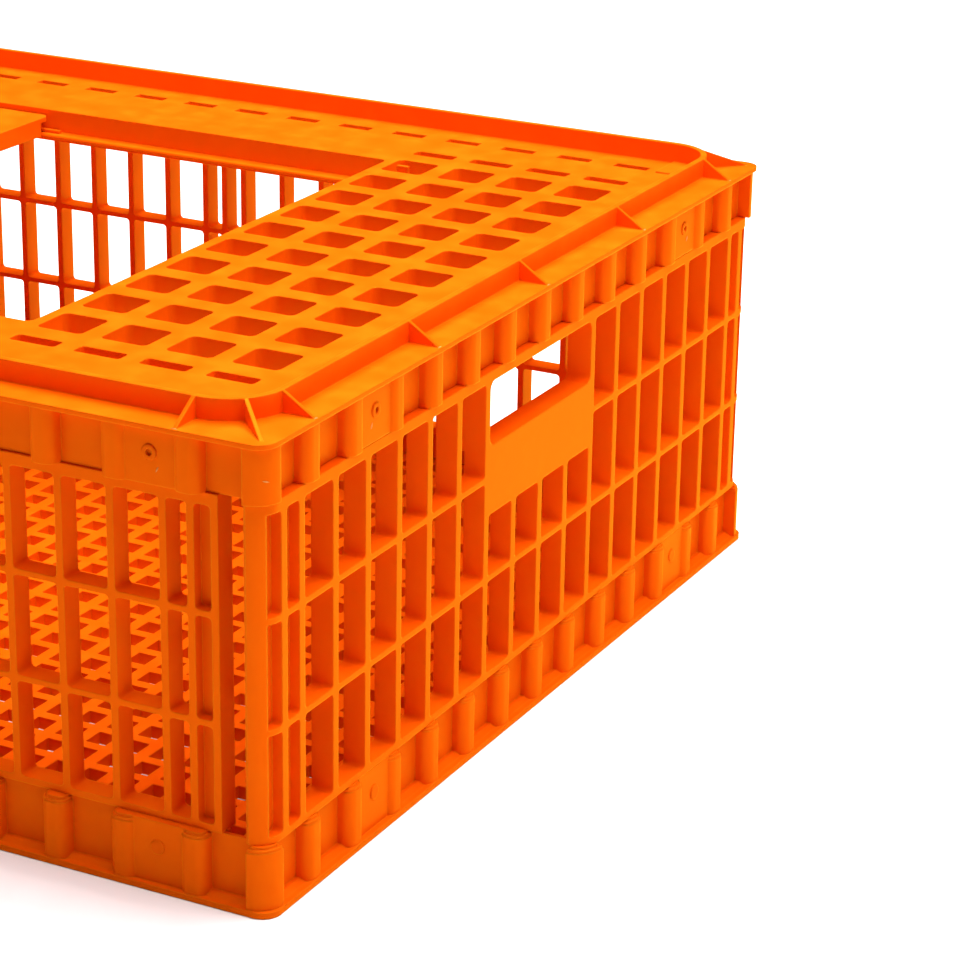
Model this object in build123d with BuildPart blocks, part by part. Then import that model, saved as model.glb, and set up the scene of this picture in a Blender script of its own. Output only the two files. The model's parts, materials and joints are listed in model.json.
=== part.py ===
"""Poultry transport crate: five snap-together mouldings, a sliding roof door and moulded rivets.

Millimetres. X runs along the long sides, Y across, Z up.
The origin is the middle of the base, on the ground.
"""
from build123d import *
import os

# ---------------------------------------------------------------- overall size
LENGTH = 970.0
WIDTH = 580.0
HEIGHT = 251.0

# ---------------------------------------------------------------- skirts of base and cover
BASE_FLANGE = 3.0            # thickness of the foot flange
BASE_TOP = 36.0              # top edge of the base skirt
COVER_BOTTOM = 209.5         # bottom edge of the cover skirt
FLANGE_LOW = 237.5           # underside of the cover flange
FLANGE_HIGH = 240.0
FLANGE_CORNER = 10.0
SKIRT_INSET = 9.0            # the flutes lie this far inside the flange edge
SKIRT_WALL = 2.2
SKIRT_EDGE = 0.9             # bulges stand this far inside the flange edge
BULGE_WIDTH = 14.6
BULGE_CORNER = 5.6
BULGE_REACH = 17.0           # drawn this deep, then trimmed to the inside of the wall
SIDE_BULGES = 23             # bulges on a long side
SIDE_BULGE_PITCH = 40.0
END_BULGES = 13              # bulges on a short side
END_BULGE_PITCH = 40.7
COLUMN_SIZE = 13.2           # width of the rounded corner columns
COLUMN_CORNER = 12.6
BASE_CAP = 33.2              # the bulges are domed above this height
PAD_INSET = 3.4              # rivet pads stand nearly flush with the bulges
PAD_WIDTH = 31.0
LEDGE_HEIGHT = 1.8           # sloping ledge between foot flange and flutes
LEDGE_INSET = 3.5

# ---------------------------------------------------------------- cover
RIM_INSET = 18.4
RIM_WALL = 3.5
RIM_CORNER = 30.0
DECK_LOW = 236.0
DECK_HIGH = 239.0
COLUMN_PITCH = 38.05         # deck holes along X
ROW_PITCH = 39.5             # deck holes along Y
COLUMNS = 23                 # hole columns that fit between the rims
ROWS = 10
RIGHT_COLUMNS = 4            # columns to the right of the roof opening
OPENING_COLUMNS = 8          # columns that the roof opening takes
DECK_HOLE_X = 27.0
DECK_HOLE_Y = 26.5
DECK_HOLE_CORNER = 3.5
COLLAR_LOW = 227.5           # the holes of the right deck have deep collars
COLLAR_WALL = 2.0
DECK_BORDER = 6.5            # bar between the last hole and the opening
OPENING_Y = 372.0
END_SLOT_Y = 210.0           # centre of the slots that close each hole column
END_SLOT = 9.0
STRIP_SLOT_Y = 247.0         # centre of the slots along the margins
STRIP_SLOT_X = 22.0
STRIP_SLOT = 7.5
GUSSET_THICKNESS = 2.0
END_GUSSETS = 5
END_GUSSET_PITCH = 122.0
SIDE_GUSSETS = 7
SIDE_GUSSET_PITCH = 145.0
CORNER_GUSSET = 29.0         # length of the diagonal gussets

# ---------------------------------------------------------------- door rails
RAIL_WEB = 2.5
RAIL_LOW = 221.0
RAIL_LIP_TOP = 225.3
RAIL_LIP = 8.0
RAIL_OVERRUN = 14.0          # the rails run on under the right deck
RAIL_LEFT_END = -LENGTH / 2 + 40.0

# ---------------------------------------------------------------- sliding door
DOOR_LENGTH = 330.0
DOOR_WIDTH = 370.0
DOOR_TOP = 235.5
DOOR_PLATE = 3.0
DOOR_FRONT_X = 40.0          # leading edge at rest, door slid open
DOOR_CORNER = 6.0
DOOR_COLUMNS = 7
DOOR_ROWS = 8
DOOR_FRONT_BORDER = 46.0
DOOR_LIP_LOW = 224.0
RUNNER_WIDTH = 3.0
RUNNER_LEAD = 9.0            # the runners reach this far ahead of the door
RUNNER_TIP = 227.2           # height of their tips, which pass under the deck collars
SLIDE_GAP = 0.3

# ---------------------------------------------------------------- wall panels
PANEL_BOTTOM = BASE_TOP + 0.1
CELL_BOTTOM = 39.6
RIB_THICKNESS = 3.0
TONGUE_WALL = 2.5
TONGUE_INSET = SKIRT_INSET + SKIRT_WALL + 0.4
BASE_TONGUE_LOW = 16.5
COVER_TONGUE_HIGH = 233.5
TONGUE_END = 30.0            # the tongues stop this far from the corners
CELL_CORNER = 2.2

END_TOP = 209.2
END_CELL_TOP = 203.5
END_RIBS_Z = (92.4, 149.0)    # undersides of the horizontal ribs
END_INSET = 3.4
END_DEPTH = 12.4
END_RIB = 4.8
END_PITCH = 31.63
END_BAYS = 16
POST_CORNER = 12.0
POST_SIDE_INSET = 3.9
POST_RETURN = 14.5           # the posts reach this far round the long side
POST_WALL = 3.5
POST_EDGE = 7.8              # the first pocket starts here
POCKET_RIB = 20.7            # rib between the two closed pockets
POCKET_WEB_DEPTH = 6.0
WEB = 2.5
HAND_BAYS = 4                # the hand hole is four bays wide
HAND_LOW = 168.0
HAND_PLATE_LOW = 130.0
HAND_PLATE = 3.0
HAND_DEPTH = 14.5

SIDE_TOP = 209.2
SIDE_CELL_TOP = 203.0
SIDE_RIBS_Z = (91.0, 147.0)
SIDE_INSET = 7.6
SIDE_DEPTH = 12.5
SIDE_RIB = 4.0
SIDE_BAYS = 29
SIDE_FIRST_RIB = 61.6        # first full-pitch rib, from the end of the crate
SIDE_HALF_RIB = 46.4
SIDE_END_RIB = 33.2
SIDE_POST_BAY = 10           # bay that a middle rib stiffens, counted from each end

# ---------------------------------------------------------------- floor
FLOOR_LOW = 8.5
FLOOR_HIGH = 15.5
FLOOR_COLUMNS = 48
FLOOR_ROWS = 28
FLOOR_PITCH_X = 19.4
FLOOR_PITCH_Y = 19.5
FLOOR_HOLE_X = 12.0
FLOOR_HOLE_Y = 13.2
JOIST_LOW = 4.0
JOIST_ROWS = 7               # a long joist under every seventh bar
JOIST_WALL = 2.4

# ---------------------------------------------------------------- rivets
RIVET_BASE_Z = 22.5
RIVET_COVER_Z = 225.5
RIVET_SIDE_X = (-420.0, 420.0)
RIVET_END_Y = (-4.5 * END_BULGE_PITCH, 4.5 * END_BULGE_PITCH)
RIVET_SHANK = 2.5
RIVET_HOLE = 2.6
RIVET_HEAD = 4.0
RIVET_HEAD_PROUD = 0.8
RIVET_DIMPLE = 1.7

HALF_L = LENGTH / 2
HALF_W = WIDTH / 2
WALL_INNER = SKIRT_INSET + SKIRT_WALL


def column_x(index):
    """X of a deck hole column, counted from the right-hand end."""
    return ((COLUMNS - 1) / 2 - index) * COLUMN_PITCH


OPENING_RIGHT = column_x(RIGHT_COLUMNS - 1) - DECK_HOLE_X / 2 - DECK_BORDER
OPENING_LEFT = column_x(RIGHT_COLUMNS + OPENING_COLUMNS) + DECK_HOLE_X / 2 + DECK_BORDER
RIGHT_COLUMNS_X = [column_x(i) for i in range(RIGHT_COLUMNS)]
LEFT_COLUMNS_X = [column_x(i) for i in range(RIGHT_COLUMNS + OPENING_COLUMNS, COLUMNS)]
DECK_ROWS = [(j - (ROWS - 1) / 2) * ROW_PITCH for j in range(ROWS)]

# planes that look straight at the four walls, with local Y pointing up
RIGHT_WALL = Plane(origin=(HALF_L, 0, 0), x_dir=(0, 1, 0), z_dir=(1, 0, 0))
LEFT_WALL = Plane(origin=(-HALF_L, 0, 0), x_dir=(0, -1, 0), z_dir=(-1, 0, 0))
FRONT_WALL = Plane(origin=(0, -HALF_W, 0), x_dir=(1, 0, 0), z_dir=(0, -1, 0))
BACK_WALL = Plane(origin=(0, HALF_W, 0), x_dir=(-1, 0, 0), z_dir=(0, 1, 0))


def box_outline(low_x, high_x, low_y, high_y, radius=0.0):
    """Closed outline of a rectangle between these limits."""
    outline = Wire.make_rect(high_x - low_x, high_y - low_y)
    if radius > 0:
        outline = outline.fillet_2d(radius, outline.vertices())
    return outline.moved(Location(((low_x + high_x) / 2, (low_y + high_y) / 2, 0)))


def repeated(outline, points):
    """Copies of an outline at each of these points."""
    return [outline.moved(Location((x, y, 0))) for x, y in points]


def side_bulges(inset):
    """Bulge centres of both long sides, on a line this far inside the edge."""
    xs = [(i - (SIDE_BULGES - 1) / 2) * SIDE_BULGE_PITCH for i in range(SIDE_BULGES)]
    return [(x, s * (HALF_W - inset)) for x in xs for s in (-1, 1)]


def end_bulges(inset):
    """Bulge centres of both short sides, on a line this far inside the edge."""
    ys = [(i - (END_BULGES - 1) / 2) * END_BULGE_PITCH for i in range(END_BULGES)]
    return [(s * (HALF_L - inset), y) for y in ys for s in (-1, 1)]


def bulges(shrink, mode):
    """The rounded bulges of a skirt, all faces moved inwards by shrink."""
    middle = SKIRT_EDGE + BULGE_REACH / 2
    width = BULGE_WIDTH - 2 * shrink
    reach = BULGE_REACH - 2 * shrink
    with Locations(*side_bulges(middle)):
        RectangleRounded(width, reach, BULGE_CORNER - shrink, mode=mode)
    with Locations(*end_bulges(middle)):
        RectangleRounded(reach, width, BULGE_CORNER - shrink, mode=mode)


def rivet_pads(inset, width, depth, mode):
    """Rectangles for the rivet pads, starting at this inset and reaching inwards."""
    middle = inset + depth / 2
    with Locations(*[(x, s * (HALF_W - middle)) for x in RIVET_SIDE_X for s in (-1, 1)]):
        Rectangle(width, depth, mode=mode)
    with Locations(*[(s * (HALF_L - middle), y) for y in RIVET_END_Y for s in (-1, 1)]):
        Rectangle(depth, width, mode=mode)


def corner_columns(shrink):
    """The rounded columns at the four corners of a skirt, moved inwards by shrink."""
    centre = SKIRT_EDGE + COLUMN_CORNER
    inner = SKIRT_EDGE + COLUMN_SIZE
    with BuildSketch() as columns:
        with GridLocations(LENGTH - 2 * centre, WIDTH - 2 * centre, 2, 2):
            Circle(COLUMN_CORNER - shrink)
        with GridLocations(LENGTH - inner, WIDTH - inner, 2, 2):
            Rectangle(inner - 2 * shrink, inner - 2 * shrink, mode=Mode.INTERSECT)
    return columns.sketch


def skirt_section(shrink, hollow):
    """Section of a fluted skirt; without the hollow its bulges are solid."""
    columns = corner_columns(shrink)
    column_cores = corner_columns(SKIRT_WALL)
    with BuildSketch() as section:
        Rectangle(LENGTH - 2 * SKIRT_INSET, WIDTH - 2 * SKIRT_INSET)
        bulges(shrink, Mode.ADD)
        add(columns)
        rivet_pads(PAD_INSET, PAD_WIDTH, WALL_INNER - PAD_INSET, Mode.ADD)
        Rectangle(LENGTH - 2 * WALL_INNER, WIDTH - 2 * WALL_INNER, mode=Mode.SUBTRACT)
        if hollow:
            bulges(SKIRT_WALL, Mode.SUBTRACT)
            add(column_cores, mode=Mode.SUBTRACT)
            behind_pad = WALL_INNER - PAD_INSET - SKIRT_WALL + 0.1
            rivet_pads(PAD_INSET + SKIRT_WALL, PAD_WIDTH - 8, behind_pad, Mode.SUBTRACT)
    return section.sketch


def finish(part, name):
    """Name a piece and write it."""
    part.label = name
    export_step(part, f"parts/{name}.step")
    print(name, f"{part.volume / 1000:.1f} cm3, {len(part.solids())} solids, {len(part.faces())} faces")


SKIRT = skirt_section(0, True)
os.makedirs("parts", exist_ok=True)


def rivet_bores(z):
    """Cut the skirt bores that the rivets pass through at this height."""
    for wall in (RIGHT_WALL, LEFT_WALL):
        with Locations(wall):
            with Locations(*[(y, z) for y in RIVET_END_Y]):
                Hole(RIVET_HOLE, WALL_INNER)
    for wall in (FRONT_WALL, BACK_WALL):
        with Locations(wall):
            with Locations(*[(x, z) for x in RIVET_SIDE_X]):
                Hole(RIVET_HOLE, WALL_INNER)


# ================================================================ base tray
with BuildPart() as base_tray:
    # foot flange
    with BuildSketch():
        RectangleRounded(LENGTH, WIDTH, FLANGE_CORNER)
        Rectangle(LENGTH - 2 * WALL_INNER, WIDTH - 2 * WALL_INNER, mode=Mode.SUBTRACT)
    extrude(amount=BASE_FLANGE)
    with BuildSketch(Plane.XY.offset(BASE_FLANGE)):
        ledge_corner = FLANGE_CORNER - LEDGE_INSET
        RectangleRounded(LENGTH - 2 * LEDGE_INSET, WIDTH - 2 * LEDGE_INSET, ledge_corner)
    extrude(amount=LEDGE_HEIGHT, taper=60)
    with BuildSketch(Plane.XY.offset(BASE_FLANGE)):
        Rectangle(LENGTH - 2 * WALL_INNER, WIDTH - 2 * WALL_INNER)
    extrude(amount=LEDGE_HEIGHT, mode=Mode.SUBTRACT)
    # fluted skirt with domed ends on its bulges
    with BuildSketch(Plane.XY.offset(BASE_FLANGE - 0.5)):
        add(SKIRT)
    extrude(amount=BASE_CAP - BASE_FLANGE + 0.5)
    cap_middle = BASE_CAP + 1.5
    for shrink, low, high in ((0.5, BASE_CAP, cap_middle), (1.8, cap_middle, BASE_TOP)):
        with BuildSketch(Plane.XY.offset(low)):
            add(skirt_section(shrink, False))
        extrude(amount=high - low, clean=False)
    rivet_bores(RIVET_BASE_Z)
    # joists under the floor, and the runner that sits on the rim of the crate below
    with BuildSketch(Plane.XY.offset(JOIST_LOW)):
        Rectangle(LENGTH - 2 * RIM_INSET + 3, WIDTH - 2 * RIM_INSET + 3)
        Rectangle(LENGTH - 2 * RIM_INSET - 3, WIDTH - 2 * RIM_INSET - 3, mode=Mode.SUBTRACT)
        with GridLocations(1, JOIST_ROWS * FLOOR_PITCH_Y, 1, FLOOR_ROWS // JOIST_ROWS - 1):
            Rectangle(LENGTH - 2 * RIM_INSET, JOIST_WALL)
    extrude(amount=FLOOR_LOW - JOIST_LOW + 1)
    # open lattice floor
    edge = Wire.make_rect(LENGTH - 2 * WALL_INNER + 2, WIDTH - 2 * WALL_INNER + 2)
    mesh = [
        ((i - (FLOOR_COLUMNS - 1) / 2) * FLOOR_PITCH_X, (j - (FLOOR_ROWS - 1) / 2) * FLOOR_PITCH_Y)
        for i in range(FLOOR_COLUMNS)
        for j in range(FLOOR_ROWS)
    ]
    floor = Face(edge, repeated(Wire.make_rect(FLOOR_HOLE_X, FLOOR_HOLE_Y), mesh))
    extrude(Pos(0, 0, FLOOR_LOW) * floor, amount=FLOOR_HIGH - FLOOR_LOW, dir=(0, 0, 1), clean=False)
finish(base_tray.part, "base_tray")


# ================================================================ top cover
def gusset_planes():
    """Planes of the straight gussets: local X points outwards from the foot of the rim."""
    planes = []
    for side in (-1, 1):
        for i in range(END_GUSSETS):
            foot = (side * (HALF_L - RIM_INSET), (i - (END_GUSSETS - 1) / 2) * END_GUSSET_PITCH, 0)
            planes.append(Plane(origin=foot, x_dir=(side, 0, 0), z_dir=(0, -side, 0)))
        for i in range(SIDE_GUSSETS):
            foot = ((i - (SIDE_GUSSETS - 1) / 2) * SIDE_GUSSET_PITCH, side * (HALF_W - RIM_INSET), 0)
            planes.append(Plane(origin=foot, x_dir=(0, side, 0), z_dir=(side, 0, 0)))
    return planes


def corner_gusset_planes():
    """Planes of the four gussets that brace the rim corners."""
    planes = []
    for a in (-1, 1):
        for b in (-1, 1):
            foot = RIM_INSET + RIM_CORNER * (1 - 0.7071)
            origin = (a * (HALF_L - foot), b * (HALF_W - foot), 0)
            planes.append(Plane(origin=origin, x_dir=(a, b, 0), z_dir=(b, -a, 0)))
    return planes


with BuildPart() as top_cover:
    # fluted skirt
    with BuildSketch(Plane.XY.offset(COVER_BOTTOM)):
        add(SKIRT)
    extrude(amount=FLANGE_LOW - COVER_BOTTOM + 0.5)
    rivet_bores(RIVET_COVER_Z)
    # flange
    with BuildSketch(Plane.XY.offset(FLANGE_LOW)):
        RectangleRounded(LENGTH, WIDTH, FLANGE_CORNER)
        Rectangle(LENGTH - 2 * RIM_INSET - 60, WIDTH - 2 * RIM_INSET - 6, mode=Mode.SUBTRACT)
        Rectangle(LENGTH - 2 * RIM_INSET - 6, WIDTH - 2 * RIM_INSET - 60, mode=Mode.SUBTRACT)
    extrude(amount=FLANGE_HIGH - FLANGE_LOW)
    # raised rim that locates the next crate
    with BuildSketch(Plane.XY.offset(DECK_LOW)):
        RectangleRounded(LENGTH - 2 * RIM_INSET, WIDTH - 2 * RIM_INSET, RIM_CORNER)
        rim_hole = RIM_INSET + RIM_WALL
        hole_corner = RIM_CORNER - RIM_WALL
        RectangleRounded(LENGTH - 2 * rim_hole, WIDTH - 2 * rim_hole, hole_corner, mode=Mode.SUBTRACT)
    extrude(amount=HEIGHT - DECK_LOW)
    # gussets between rim and flange
    with BuildSketch(*gusset_planes()):
        with BuildLine():
            Polyline(
                (-1, FLANGE_HIGH - 1),
                (-1, HEIGHT),
                (0, HEIGHT),
                (RIM_INSET - 1.5, FLANGE_HIGH),
                (RIM_INSET - 2, FLANGE_HIGH - 1),
                close=True,
            )
        make_face()
    extrude(amount=GUSSET_THICKNESS / 2, both=True)
    with BuildSketch(*corner_gusset_planes()):
        with BuildLine():
            Polyline(
                (-1, FLANGE_HIGH - 1),
                (-1, HEIGHT),
                (0, HEIGHT),
                (CORNER_GUSSET, FLANGE_HIGH),
                (CORNER_GUSSET, FLANGE_HIGH - 1),
                close=True,
            )
        make_face()
    extrude(amount=GUSSET_THICKNESS / 2, both=True)
    # door rails
    for side in (-1, 1):
        with BuildSketch(Plane(origin=(RAIL_LEFT_END, 0, 0), x_dir=(0, side, 0), z_dir=(side, 0, 0))):
            web = OPENING_Y / 2
            with BuildLine():
                Polyline(
                    (web, DECK_LOW + 0.5),
                    (web, RAIL_LIP_TOP),
                    (web - RAIL_LIP, RAIL_LIP_TOP),
                    (web - RAIL_LIP, RAIL_LOW),
                    (web + RAIL_WEB, RAIL_LOW),
                    (web + RAIL_WEB, DECK_LOW + 0.5),
                    close=True,
                )
            make_face()
        extrude(amount=OPENING_RIGHT + RAIL_OVERRUN - RAIL_LEFT_END, dir=(1, 0, 0))
    lip_edges = top_cover.edges().filter_by(Axis.X).filter_by_position(Axis.Z, RAIL_LOW, RAIL_LIP_TOP)
    fillet(lip_edges.filter_by(lambda e: abs(abs(e.center().Y) - OPENING_Y / 2 + RAIL_LIP) < 0.01), 1.6)
    # deep collars under the holes of the right deck
    right_holes = [(x, y) for x in RIGHT_COLUMNS_X for y in DECK_ROWS]
    right_slots = [(x, s * END_SLOT_Y) for x in RIGHT_COLUMNS_X for s in (-1, 1)]
    with BuildSketch(Plane.XY.offset(COLLAR_LOW)):
        with Locations(*right_holes):
            Rectangle(DECK_HOLE_X + 2 * COLLAR_WALL, DECK_HOLE_Y + 2 * COLLAR_WALL)
            RectangleRounded(DECK_HOLE_X, DECK_HOLE_Y, DECK_HOLE_CORNER, mode=Mode.SUBTRACT)
        with Locations(*right_slots):
            Rectangle(DECK_HOLE_X + 2 * COLLAR_WALL, END_SLOT + 2 * COLLAR_WALL)
            RectangleRounded(DECK_HOLE_X, END_SLOT, 2.0, mode=Mode.SUBTRACT)
    extrude(amount=DECK_LOW - COLLAR_LOW, clean=False)
    # deck with its rows of openings
    left_holes = [(x, y) for x in LEFT_COLUMNS_X for y in DECK_ROWS]
    left_slots = [(x, s * END_SLOT_Y) for x in LEFT_COLUMNS_X for s in (-1, 1)]
    half_x = DECK_HOLE_X / 2
    half_y = DECK_HOLE_Y / 2
    holes = repeated(box_outline(-half_x, half_x, -half_y, half_y, DECK_HOLE_CORNER), right_holes)
    holes += repeated(box_outline(-half_x, half_x, -END_SLOT / 2, END_SLOT / 2, 2.0), right_slots)
    holes += repeated(Wire.make_rect(DECK_HOLE_X, DECK_HOLE_Y), left_holes)
    holes += repeated(Wire.make_rect(DECK_HOLE_X, END_SLOT), left_slots)
    strip_slots = [(column_x(i), s * STRIP_SLOT_Y) for i in range(COLUMNS) for s in (-1, 1)]
    holes += repeated(Wire.make_rect(STRIP_SLOT_X, STRIP_SLOT), strip_slots)
    holes.append(box_outline(OPENING_LEFT, OPENING_RIGHT, -OPENING_Y / 2, OPENING_Y / 2, 5.0))
    deck_x = HALF_L - RIM_INSET - 1.5
    deck_y = HALF_W - RIM_INSET - 1.5
    deck = Face(box_outline(-deck_x, deck_x, -deck_y, deck_y, RIM_CORNER - 1.5), holes)
    extrude(Pos(0, 0, DECK_LOW) * deck, amount=DECK_HIGH - DECK_LOW, dir=(0, 0, 1), clean=False)
finish(top_cover.part, "top_cover")

# ================================================================ sliding door
with BuildPart() as sliding_door:
    tail = DOOR_FRONT_X - DOOR_LENGTH
    middle = DOOR_FRONT_X - DOOR_LENGTH / 2
    # runners on both sides, which ride on the rail lips and reach a little ahead of the door
    runner_y = DOOR_WIDTH / 2 - RUNNER_WIDTH / 2 - 0.5
    with BuildSketch(Plane.XY.offset(RAIL_LIP_TOP + SLIDE_GAP)):
        with Locations(*[(middle, side * runner_y) for side in (-1, 1)]):
            Rectangle(DOOR_LENGTH - 2 * DOOR_CORNER, RUNNER_WIDTH)
    extrude(amount=DOOR_TOP - DOOR_PLATE - RAIL_LIP_TOP - SLIDE_GAP + 0.5)
    with BuildSketch(Plane.XY.offset(RAIL_LIP_TOP + SLIDE_GAP)):
        with Locations(*[(DOOR_FRONT_X + RUNNER_LEAD / 2 - 5, side * runner_y) for side in (-1, 1)]):
            Rectangle(RUNNER_LEAD + 10, RUNNER_WIDTH)
    extrude(amount=RUNNER_TIP - RAIL_LIP_TOP - SLIDE_GAP)
    # turned-down pull edge at the front
    with BuildSketch(Plane.XY.offset(DOOR_LIP_LOW)):
        with Locations((DOOR_FRONT_X - DOOR_PLATE / 2, 0)):
            Rectangle(DOOR_PLATE, OPENING_Y - 2 * RAIL_LIP - 6)
    extrude(amount=DOOR_TOP - DOOR_PLATE - DOOR_LIP_LOW + 0.5)
    # stiffening ribs across the door between the hole columns
    with BuildSketch(Plane.XY.offset(DOOR_TOP - DOOR_PLATE - 4)):
        with Locations((DOOR_FRONT_X - DOOR_FRONT_BORDER + 4, 0), (tail + 3, 0)):
            Rectangle(2.4, DOOR_WIDTH - 8)
    extrude(amount=4.5)
    # perforated plate
    hole_x = [DOOR_FRONT_X - DOOR_FRONT_BORDER - (i + 0.5) * COLUMN_PITCH for i in range(DOOR_COLUMNS)]
    hole_y = [(j - (DOOR_ROWS - 1) / 2) * ROW_PITCH for j in range(DOOR_ROWS)]
    outline = box_outline(tail, DOOR_FRONT_X, -DOOR_WIDTH / 2, DOOR_WIDTH / 2, DOOR_CORNER)
    door_hole = Wire.make_rect(DECK_HOLE_X, DECK_HOLE_Y)
    plate = Face(outline, repeated(door_hole, [(x, y) for x in hole_x for y in hole_y]))
    extrude(Pos(0, 0, DOOR_TOP - DOOR_PLATE) * plate, amount=DOOR_PLATE, dir=(0, 0, 1), clean=False)
finish(sliding_door.part, "sliding_door")


# ================================================================ wall panels
def cell_rows(top, ribs):
    """Bottom and top of each row of cells."""
    starts = [CELL_BOTTOM] + [z + RIB_THICKNESS for z in ribs]
    return list(zip(starts, list(ribs) + [top]))


def tongue(wall, length, top):
    """The flat tongues with which a panel plugs in behind the skirts of base and cover."""
    low = PANEL_BOTTOM + 0.5 - BASE_TONGUE_LOW
    with BuildSketch(wall.offset(-TONGUE_INSET)) as outline:
        with Locations((0, BASE_TONGUE_LOW + low / 2)):
            Rectangle(length, low)
        high = COVER_TONGUE_HIGH - top + 0.5
        with Locations((0, COVER_TONGUE_HIGH - high / 2)):
            Rectangle(length, high)
    extrude(outline.sketch, amount=-TONGUE_WALL)


def tongue_bores(wall, along):
    """Bores in the tongues for the rivets."""
    with Locations(wall.offset(-TONGUE_INSET)):
        with Locations(*[(a, z) for a in along for z in (RIVET_BASE_Z, RIVET_COVER_Z)]):
            Hole(RIVET_HOLE, TONGUE_WALL + 0.5)


def end_panel(wall, name):
    """An end panel moulded in one with its two corner posts."""
    side = 1 if wall is RIGHT_WALL else -1
    rib_y = [(k - END_BAYS / 2) * END_PITCH for k in range(END_BAYS + 1)]
    hand_half = HAND_BAYS / 2 * END_PITCH
    pocket_ribs = [s * (HALF_W - POCKET_RIB) for s in (-1, 1)]
    with BuildPart() as panel:
        # corner posts, an angle wrapped round each corner
        with BuildSketch(Plane.XY.offset(PANEL_BOTTOM)):
            RectangleRounded(LENGTH - 2 * END_INSET, WIDTH - 2 * POST_SIDE_INSET, POST_CORNER)
            inner_x = LENGTH - 2 * (END_INSET + POST_WALL)
            inner_y = WIDTH - 2 * (POST_SIDE_INSET + POST_WALL)
            RectangleRounded(inner_x, inner_y, POST_CORNER - POST_WALL, mode=Mode.SUBTRACT)
            with Locations(*[(side * (HALF_L - POST_RETURN / 2), s * HALF_W) for s in (-1, 1)]):
                Rectangle(POST_RETURN, 2 * (POST_EDGE + 1), mode=Mode.INTERSECT)
        extrude(amount=END_TOP - PANEL_BOTTOM)
        tongue(wall, WIDTH - 2 * TONGUE_END, END_TOP)
        # frame round the hand hole and the flush plate under it
        with BuildSketch(wall.offset(-END_INSET)):
            with Locations((0, (HAND_LOW - 3 + END_TOP) / 2)):
                Rectangle(2 * hand_half + END_RIB, END_TOP - HAND_LOW + 3)
            with Locations((0, (HAND_LOW + END_CELL_TOP) / 2)):
                hole_width = 2 * hand_half - END_RIB
                RectangleRounded(hole_width, END_CELL_TOP - HAND_LOW, 5.0, mode=Mode.SUBTRACT)
        extrude(amount=-HAND_DEPTH)
        with BuildSketch(wall.offset(-END_INSET)):
            with Locations((0, (HAND_PLATE_LOW + HAND_LOW) / 2)):
                Rectangle(2 * hand_half, HAND_LOW - HAND_PLATE_LOW)
        extrude(amount=-HAND_PLATE)
        # webs that close the narrow pockets beside the posts
        with BuildSketch(wall.offset(-END_INSET - POCKET_WEB_DEPTH)):
            pocket = HALF_W - POST_EDGE + rib_y[0]
            pocket_y = HALF_W - POST_EDGE - pocket / 2
            with Locations(*[(s * pocket_y, (PANEL_BOTTOM + END_TOP) / 2) for s in (-1, 1)]):
                Rectangle(pocket, END_TOP - PANEL_BOTTOM)
        extrude(amount=-WEB)
        # ribbed lattice
        cells = []
        edges = [POST_EDGE - HALF_W - END_RIB / 2, pocket_ribs[0]] + rib_y
        edges += [pocket_ribs[1], HALF_W - POST_EDGE + END_RIB / 2]
        for low, high in cell_rows(END_CELL_TOP, END_RIBS_Z):
            for left, right in zip(edges, edges[1:]):
                if abs(left + right) / 2 < hand_half and low > HAND_PLATE_LOW:
                    continue
                top = high
                if abs(left + right) / 2 < hand_half and high > HAND_PLATE_LOW:
                    top = HAND_PLATE_LOW
                cells.append(box_outline(left + END_RIB / 2, right - END_RIB / 2, low, top, CELL_CORNER))
        cells.append(box_outline(-hand_half, hand_half, HAND_PLATE_LOW + 3, END_CELL_TOP))
        frame = box_outline(POST_EDGE - HALF_W - 3, HALF_W - POST_EDGE + 3, PANEL_BOTTOM, END_TOP)
        lattice = wall.offset(-END_INSET).location * Face(frame, cells)
        extrude(lattice, amount=END_DEPTH, dir=-wall.z_dir, clean=False)
        # round the outer corners down to the posts
        with BuildSketch(Plane.XY.offset(BASE_TONGUE_LOW)):
            RectangleRounded(LENGTH - 2 * END_INSET, WIDTH - 2 * POST_SIDE_INSET, POST_CORNER)
        extrude(amount=COVER_TONGUE_HIGH - BASE_TONGUE_LOW, mode=Mode.INTERSECT)
        tongue_bores(wall, RIVET_END_Y)
    finish(panel.part, name)


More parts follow.
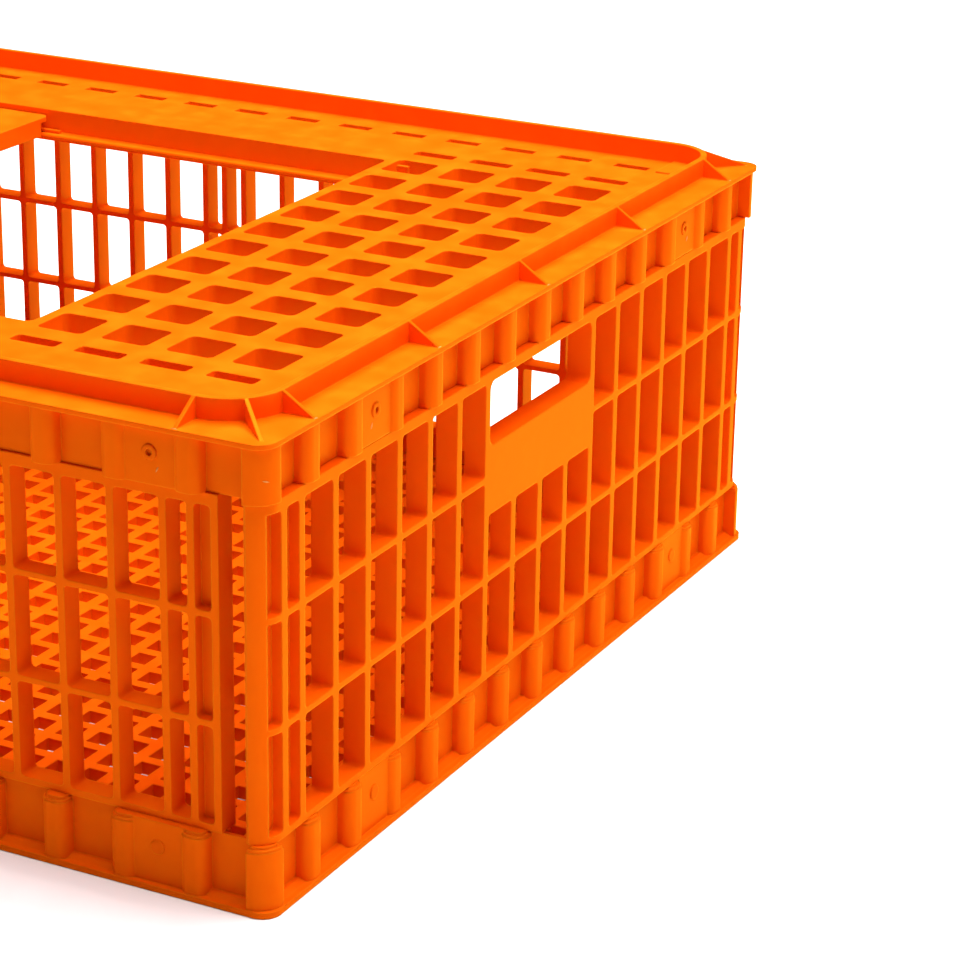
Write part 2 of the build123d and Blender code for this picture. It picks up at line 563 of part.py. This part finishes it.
def side_panel(wall, name):
    """A long side panel: a plain grid with stiffer channels at both ends."""
    pitch = (LENGTH - 2 * SIDE_FIRST_RIB) / SIDE_BAYS
    full = [HALF_L - SIDE_FIRST_RIB - n * pitch for n in range(SIDE_BAYS + 1)]
    extra = [(full[n] + full[n + 1]) / 2 for n in (SIDE_POST_BAY, SIDE_BAYS - 1 - SIDE_POST_BAY)]
    outer = [s * (HALF_L - v) for v in (SIDE_HALF_RIB, SIDE_END_RIB) for s in (-1, 1)]
    edges = sorted(full + extra + outer)
    end_x = HALF_L - SIDE_END_RIB + SIDE_RIB / 2
    channel_x = HALF_L - (SIDE_END_RIB + SIDE_HALF_RIB) / 2
    with BuildPart() as panel:
        tongue(wall, LENGTH - 2 * TONGUE_END, SIDE_TOP)
        # webs of the end channels
        with BuildSketch(wall.offset(-SIDE_INSET - POCKET_WEB_DEPTH)):
            with Locations(*[(s * channel_x, (PANEL_BOTTOM + SIDE_TOP) / 2) for s in (-1, 1)]):
                Rectangle(SIDE_HALF_RIB - SIDE_END_RIB, SIDE_TOP - PANEL_BOTTOM)
        extrude(amount=-WEB)
        # ribbed lattice
        cells = []
        for low, high in cell_rows(SIDE_CELL_TOP, SIDE_RIBS_Z):
            for left, right in zip(edges, edges[1:]):
                cells.append(box_outline(left + SIDE_RIB / 2, right - SIDE_RIB / 2, low, high, CELL_CORNER))
        frame = box_outline(-end_x, end_x, PANEL_BOTTOM, SIDE_TOP)
        lattice = wall.offset(-SIDE_INSET).location * Face(frame, cells)
        extrude(lattice, amount=SIDE_DEPTH, dir=-wall.z_dir, clean=False)
        tongue_bores(wall, RIVET_SIDE_X)
    finish(panel.part, name)


end_panel(LEFT_WALL, "end_panel_left")
end_panel(RIGHT_WALL, "end_panel_right")
side_panel(FRONT_WALL, "side_panel_front")
side_panel(BACK_WALL, "side_panel_back")


# ================================================================ rivets
def rivet_pair(wall, along, z, dimple, name):
    """The two moulded rivets that pin one wall panel to a skirt; the upper ones have a dimple."""
    with BuildPart() as rivets:
        with BuildSketch(wall.offset(RIVET_HEAD_PROUD - PAD_INSET)):
            with Locations(*[(a, z) for a in along]):
                Circle(RIVET_HEAD)
        extrude(amount=-RIVET_HEAD_PROUD)
        with BuildSketch(wall.offset(-PAD_INSET)):
            with Locations(*[(a, z) for a in along]):
                Circle(RIVET_SHANK)
        extrude(amount=PAD_INSET - TONGUE_INSET - TONGUE_WALL - 0.8)
        rings = rivets.edges().filter_by(GeomType.CIRCLE)
        rings = rings.filter_by(lambda e: abs(e.radius - RIVET_HEAD) < 0.01)
        chamfer(rings.filter_by(lambda e: abs(wall.to_local_coords(e.center()).Z + PAD_INSET) > 0.3), 0.4)
        if dimple:
            with Locations(wall.offset(RIVET_HEAD_PROUD - PAD_INSET)):
                with Locations(*[(a, z) for a in along]):
                    Hole(RIVET_DIMPLE, 1.4)
    finish(rivets.part, name)


WALLS = {"front": (FRONT_WALL, RIVET_SIDE_X), "back": (BACK_WALL, RIVET_SIDE_X)}
WALLS |= {"left": (LEFT_WALL, RIVET_END_Y), "right": (RIGHT_WALL, RIVET_END_Y)}
for place, (wall, along) in WALLS.items():
    rivet_pair(wall, along, RIVET_BASE_Z, False, f"base_rivets_{place}")
    rivet_pair(wall, along, RIVET_COVER_Z, True, f"cover_rivets_{place}")
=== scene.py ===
import json
import math

import bmesh
import bpy
from mathutils import Euler, Matrix, Vector


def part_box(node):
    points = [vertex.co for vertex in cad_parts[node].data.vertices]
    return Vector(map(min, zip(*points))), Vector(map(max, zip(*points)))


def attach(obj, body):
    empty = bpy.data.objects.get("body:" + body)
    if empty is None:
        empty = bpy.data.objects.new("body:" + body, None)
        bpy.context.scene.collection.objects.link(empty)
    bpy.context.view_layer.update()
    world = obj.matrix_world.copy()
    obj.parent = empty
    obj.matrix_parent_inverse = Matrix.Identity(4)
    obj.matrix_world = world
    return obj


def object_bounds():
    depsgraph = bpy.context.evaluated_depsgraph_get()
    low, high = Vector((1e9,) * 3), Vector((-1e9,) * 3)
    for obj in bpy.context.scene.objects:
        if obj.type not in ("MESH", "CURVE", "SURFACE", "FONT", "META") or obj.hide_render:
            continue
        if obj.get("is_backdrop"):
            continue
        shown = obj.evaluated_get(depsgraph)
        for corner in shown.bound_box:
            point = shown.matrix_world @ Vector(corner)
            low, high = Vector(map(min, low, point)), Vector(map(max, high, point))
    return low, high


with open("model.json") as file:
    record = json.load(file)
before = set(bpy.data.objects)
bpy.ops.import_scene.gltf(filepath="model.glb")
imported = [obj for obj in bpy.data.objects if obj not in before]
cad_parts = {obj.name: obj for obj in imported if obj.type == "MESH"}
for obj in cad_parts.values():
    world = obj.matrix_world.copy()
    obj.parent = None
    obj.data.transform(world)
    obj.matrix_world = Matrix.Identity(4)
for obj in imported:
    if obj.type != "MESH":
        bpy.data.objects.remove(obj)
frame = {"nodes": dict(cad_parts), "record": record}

low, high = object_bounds()

# The viewpoint: where the camera stands, which way it looks and how far it leans.
CAMERA_PLACE = Vector((1.168, -1.4233, 0.7198))
CAMERA_HEADING = math.radians(26.92)
CAMERA_DIP = math.radians(20.49)
CAMERA_ROLL = math.radians(0.99)
CAMERA_LENS = 117.4
SENSOR_WIDTH = 36
NEAREST_SEEN = 0.05

# Where the moulding marks sit, in metres. The corner burr's turn is from the front face to the right.
RIM_RISE = 0.011
RIVET_PROUD = 0.0008
COLUMN_INSET = 0.0135
COLUMN_RADIUS = 0.0126
CORNER_BURR_DROP = 0.0295
CORNER_BURR_TURN = math.radians(50)
FLANGE_BURR_INSET = 0.0012
GUSSET_STEP = 0.122
SIDE_GUSSET_STEP = 0.145

# A burr's rings and sides. It swells and shrinks as half a sine wave with this share cut off each end.
BURR_RINGS = 7
BURR_SIDES = 6
BURR_TIP = 0.08

# Colours of the moulded polyethylene, linear, and a painted highlight colour laid along its edges.
ORANGE = (0.95, 0.117, 0.0011, 1)
DEEP = (0.9, 0.093, 0.0008, 1)
PALE = (0.97, 0.17, 0.003, 1)
SHEEN = (1.0, 0.47, 0.02, 1)
# painted highlight colour for the edges, not a colour of the plastic
PAINTED_EDGE_HIGHLIGHT = (1.0, 0.24, 0.008, 1)
FLASH = (1.0, 0.58, 0.2, 1)
EDGE_SOFTNESS = 0.0011
SEE_THROUGH = 0.2
PLASTIC_IOR = 1.42

# Floor, in metres: half its side, the gap under the crate, and the distances between which it passes out
# of the lamps' reach and glows instead. The surroundings beyond it are dim.
FLOOR_HALF = 40.0
FLOOR_GAP = 0.0004
FLOOR_DIM_FROM = 1.6
FLOOR_DIM_TO = 5.0
FLOOR_GLOW = 0.95
FLOOR_GREY = (0.9, 0.9, 0.9, 1)
FLOOR_WHITE = (0.93, 0.93, 0.93, 1)
SURROUNDINGS = 0.05


# ---------------------------------------------------------------- materials
class Graph:
    """Small helper that adds nodes to a material and links them."""

    def __init__(self, name):
        self.material = bpy.data.materials.new(name)
        self.material.use_nodes = True
        self.tree = self.material.node_tree
        self.tree.nodes.clear()

    def add(self, kind, values=None, **settings):
        node = self.tree.nodes.new(kind)
        for key, value in settings.items():
            setattr(node, key, value)
        for key, value in (values or {}).items():
            if hasattr(value, "is_output"):
                self.tree.links.new(value, node.inputs[key])
            else:
                node.inputs[key].default_value = value
        return node

    def noise(self, where, scale, detail, rough=0.5):
        values = {"Vector": where, "Scale": scale, "Detail": detail, "Roughness": rough}
        return self.add("ShaderNodeTexNoise", values).outputs["Fac"]

    def fit(self, value, low_in, high_in, low_out, high_out):
        values = {"Value": value, "From Min": low_in, "From Max": high_in}
        values.update({"To Min": low_out, "To Max": high_out})
        return self.add("ShaderNodeMapRange", values).outputs["Result"]

    def mix(self, factor, first, second):
        node = self.add("ShaderNodeMix", data_type="RGBA")
        for index, value in ((0, factor), (6, first), (7, second)):
            if hasattr(value, "is_output"):
                self.tree.links.new(value, node.inputs[index])
            else:
                node.inputs[index].default_value = value
        return node.outputs[2]


def polyethylene(name, base, seed, roughness=0.34, scuffs=0.4):
    """Semi-gloss moulded plastic: flow mottling, orange-peel texture, softened edges with a painted
    highlight along them, scuffed spots.
    """
    g = Graph(name)
    where = g.add("ShaderNodeTexCoord").outputs["Object"]
    shift = (seed, seed * 0.7, seed * 1.3)
    where = g.add("ShaderNodeMapping", {"Vector": where, "Location": shift}).outputs["Vector"]
    cloud = g.noise(where, 9.0, 4.0, 0.6)
    flow = g.noise(where, 60.0, 3.0)
    peel = g.noise(where, 700.0, 2.0)
    grain = g.noise(where, 2600.0, 2.0)
    scuff = g.noise(where, 140.0, 6.0, 0.75)
    colour = g.mix(g.fit(cloud, 0.35, 0.7, 0.0, 0.5), base, DEEP)
    colour = g.mix(g.fit(flow, 0.45, 0.8, 0.0, 0.25), colour, PALE)
    worn = g.fit(scuff, 0.62, 0.8, 0.0, scuffs)
    colour = g.mix(worn, colour, PALE)
    rough = g.fit(flow, 0.3, 0.7, roughness - 0.04, roughness + 0.08)
    dulled = g.fit(worn, 0.0, 1.0, 0.0, 0.2)
    rough = g.add("ShaderNodeMath", {0: rough, 1: dulled}, operation="ADD").outputs[0]
    edge = g.add("ShaderNodeBevel", {"Radius": EDGE_SOFTNESS}, samples=4).outputs[0]
    face = g.add("ShaderNodeNewGeometry").outputs["Normal"]
    turn = g.add("ShaderNodeVectorMath", {0: edge, 1: face}, operation="DOT_PRODUCT")
    # painted highlight: where the rounded edge normal turns away from the face, the colour is mixed
    # towards a lighter orange
    colour = g.mix(g.fit(turn.outputs["Value"], 1.0, 0.8, 0.0, 0.6), colour, PAINTED_EDGE_HIGHLIGHT)
    normal = edge
    for height, strength, depth in ((peel, 0.12, 0.0004), (grain, 0.05, 0.0001)):
        values = {"Strength": strength, "Distance": depth, "Height": height, "Normal": normal}
        normal = g.add("ShaderNodeBump", values).outputs[0]
    values = {"Color": colour, "Roughness": 0.3, "Normal": normal}
    body = g.add("ShaderNodeBsdfDiffuse", values).outputs[0]
    glow = g.add("ShaderNodeBsdfTranslucent", {"Color": colour, "Normal": normal}).outputs[0]
    body = g.add("ShaderNodeMixShader", {0: SEE_THROUGH, 1: body, 2: glow}).outputs[0]
    values = {"Color": SHEEN, "Roughness": rough, "Normal": normal}
    gloss = g.add("ShaderNodeBsdfGlossy", values).outputs[0]
    facing = g.add("ShaderNodeFresnel", {"IOR": PLASTIC_IOR, "Normal": normal}).outputs[0]
    shader = g.add("ShaderNodeMixShader", {0: facing, 1: body, 2: gloss})
    g.add("ShaderNodeOutputMaterial", {"Surface": shader.outputs[0]})
    return g.material


def pale_floor():
    """Near-white studio floor, faintly uneven, that stays pale where the lamps no longer reach."""
    g = Graph("studio_floor")
    where = g.add("ShaderNodeTexCoord").outputs["Object"]
    cloud = g.noise(where, 2.0, 2.0)
    colour = g.mix(g.fit(cloud, 0.3, 0.7, 0.0, 1.0), FLOOR_GREY, FLOOR_WHITE)
    away = g.add("ShaderNodeVectorMath", {0: where}, operation="LENGTH").outputs["Value"]
    values = {"Base Color": colour, "Roughness": 0.85, "Specular IOR Level": 0.1}
    values["Emission Color"] = colour
    values["Emission Strength"] = g.fit(away, FLOOR_DIM_FROM, FLOOR_DIM_TO, 0.0, FLOOR_GLOW)
    shader = g.add("ShaderNodeBsdfPrincipled", values)
    g.add("ShaderNodeOutputMaterial", {"Surface": shader.outputs[0]})
    return g.material


MATERIALS = {
    "base": polyethylene("pe_base", ORANGE, 1.7),
    "cover": polyethylene("pe_cover", ORANGE, 5.1),
    "door": polyethylene("pe_door", ORANGE, 8.3),
    "walls": polyethylene("pe_walls", ORANGE, 3.9),
    "rivets": polyethylene("pe_rivets", DEEP, 6.4, roughness=0.3),
}
for entry in frame["record"]["subparts"]:
    node = frame["nodes"][entry["node"]]
    node.data.materials.clear()
    node.data.materials.append(MATERIALS[entry["material_slot"]])


# ---------------------------------------------------------------- moulding marks
def sliver(shape, place, along, out, length=0.0034, width=0.0008, height=0.0005):
    """A low faceted burr on a face: a ridge of this length, tapering to both ends."""
    along = Vector(along).normalized()
    out = Vector(out).normalized()
    across = along.cross(out)
    rings = []
    for step in range(BURR_RINGS):
        t = step / (BURR_RINGS - 1)
        swell = math.sin(math.pi * (BURR_TIP + (1 - 2 * BURR_TIP) * t))
        middle = Vector(place) + along * (t - 0.5) * length
        ring = []
        for side in range(BURR_SIDES):
            angle = math.tau * side / BURR_SIDES
            offset = across * math.cos(angle) * width * swell / 2
            offset += out * math.sin(angle) * height * swell
            ring.append(shape.verts.new(middle + offset))
        rings.append(ring)
    for first, second in zip(rings, rings[1:]):
        for side in range(BURR_SIDES):
            after = (side + 1) % BURR_SIDES
            shape.faces.new((first[side], first[after], second[after], second[side]))
    shape.faces.new(list(reversed(rings[0])))
    shape.faces.new(rings[-1])


def make_burrs():
    """Small flash burrs where the lid's mould parts meet, as on any such moulding."""
    shape = bmesh.new()
    cover_low, cover_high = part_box("top_cover")
    rivet_low, rivet_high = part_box("cover_rivets_front")
    end_low, end_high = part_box("cover_rivets_right")
    flange_top = cover_high.z - RIM_RISE
    # beside the upper rivets
    for x in (rivet_low.x, rivet_high.x):
        face = rivet_low.y + RIVET_PROUD
        sliver(shape, (x, face, rivet_low.z - 0.004), (1, 0, 2), (0, -1, 0))
    for y in (end_low.y, end_high.y):
        face = end_high.x - RIVET_PROUD
        sliver(shape, (face, y, end_low.z - 0.003), (0, 1, 2), (1, 0, 0))
    # on the rounded corner column at the front right
    sine = math.sin(CORNER_BURR_TURN)
    cosine = math.cos(CORNER_BURR_TURN)
    out = Vector((sine, -cosine, 0))
    height = cover_high.z - CORNER_BURR_DROP
    centre = Vector((cover_high.x - COLUMN_INSET, cover_low.y + COLUMN_INSET, height))
    sliver(shape, centre + out * COLUMN_RADIUS, (cosine, sine, -0.25), out)
    # on the flange, at the outer ends of the gussets
    for index in range(-2, 3):
        place = (cover_high.x - FLANGE_BURR_INSET, index * GUSSET_STEP, flange_top)
        sliver(shape, place, (0, 1, 0), (0, 0, 1))
    for index in range(-3, 4):
        place = (index * SIDE_GUSSET_STEP, cover_low.y + FLANGE_BURR_INSET, flange_top)
        sliver(shape, place, (1, 0, 0), (0, 0, 1))
    bmesh.ops.recalc_face_normals(shape, faces=shape.faces)
    mesh = bpy.data.meshes.new("mould_burrs")
    shape.to_mesh(mesh)
    shape.free()
    burrs = bpy.data.objects.new("mould_burrs", mesh)
    bpy.context.scene.collection.objects.link(burrs)
    mesh.materials.append(polyethylene("pe_burrs", FLASH, 2.2, roughness=0.25))
    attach(burrs, "crate")


make_burrs()


# ---------------------------------------------------------------- studio
def make_floor():
    """A large flat sheet under the crate."""
    mesh = bpy.data.meshes.new("studio_floor")
    size = FLOOR_HALF
    corners = [(-size, -size, 0), (size, -size, 0), (size, size, 0), (-size, size, 0)]
    mesh.from_pydata(corners, [], [(0, 1, 2, 3)])
    floor = bpy.data.objects.new("studio_floor", mesh)
    floor.location.z = low[2] - FLOOR_GAP
    bpy.context.scene.collection.objects.link(floor)
    mesh.materials.append(pale_floor())
    floor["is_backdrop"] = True


def softbox(name, place, target, size, power):
    """A rectangular soft light that faces the target."""
    data = bpy.data.lights.new(name, "AREA")
    data.shape = "RECTANGLE"
    data.size = size[0]
    data.size_y = size[1]
    data.energy = power
    lamp = bpy.data.objects.new(name, data)
    lamp.location = place
    lamp.rotation_euler = (Vector(target) - Vector(place)).to_track_quat("-Z", "Y").to_euler()
    bpy.context.scene.collection.objects.link(lamp)


def make_lights():
    """Dim white surroundings, a large light overhead, and two smaller ones in front and on the right."""
    world = bpy.data.worlds.new("studio")
    bpy.context.scene.world = world
    world.use_nodes = True
    background = world.node_tree.nodes["Background"]
    background.inputs["Color"].default_value = (1, 1, 1, 1)
    background.inputs["Strength"].default_value = SURROUNDINGS
    softbox("overhead", (0.2, 0.55, 2.2), (0, 0.1, 0), (2.0, 1.4), 124)
    softbox("front_top", (0.3, -0.7, 2.2), (0.2, -0.1, 0), (1.4, 0.8), 20)
    softbox("top_right", (1.5, -0.1, 2.0), (0.4, 0, 0.1), (1.2, 1.2), 27)


def make_camera():
    """The camera at the photographed angle."""
    data = bpy.data.cameras.new("camera")
    data.lens = CAMERA_LENS
    data.sensor_width = SENSOR_WIDTH
    data.clip_start = NEAREST_SEEN
    camera = bpy.data.objects.new("camera", data)
    tilt = Euler((math.pi / 2 - CAMERA_DIP, 0, CAMERA_HEADING)).to_matrix()
    roll = Matrix.Rotation(CAMERA_ROLL, 3, "Z")
    camera.matrix_world = Matrix.Translation(CAMERA_PLACE) @ (tilt @ roll).to_4x4()
    bpy.context.scene.collection.objects.link(camera)
    bpy.context.scene.camera = camera


make_floor()
make_lights()
make_camera()
bpy.context.scene.view_settings.view_transform = "Standard"
bpy.context.scene.view_settings.look = "None"

low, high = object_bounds()
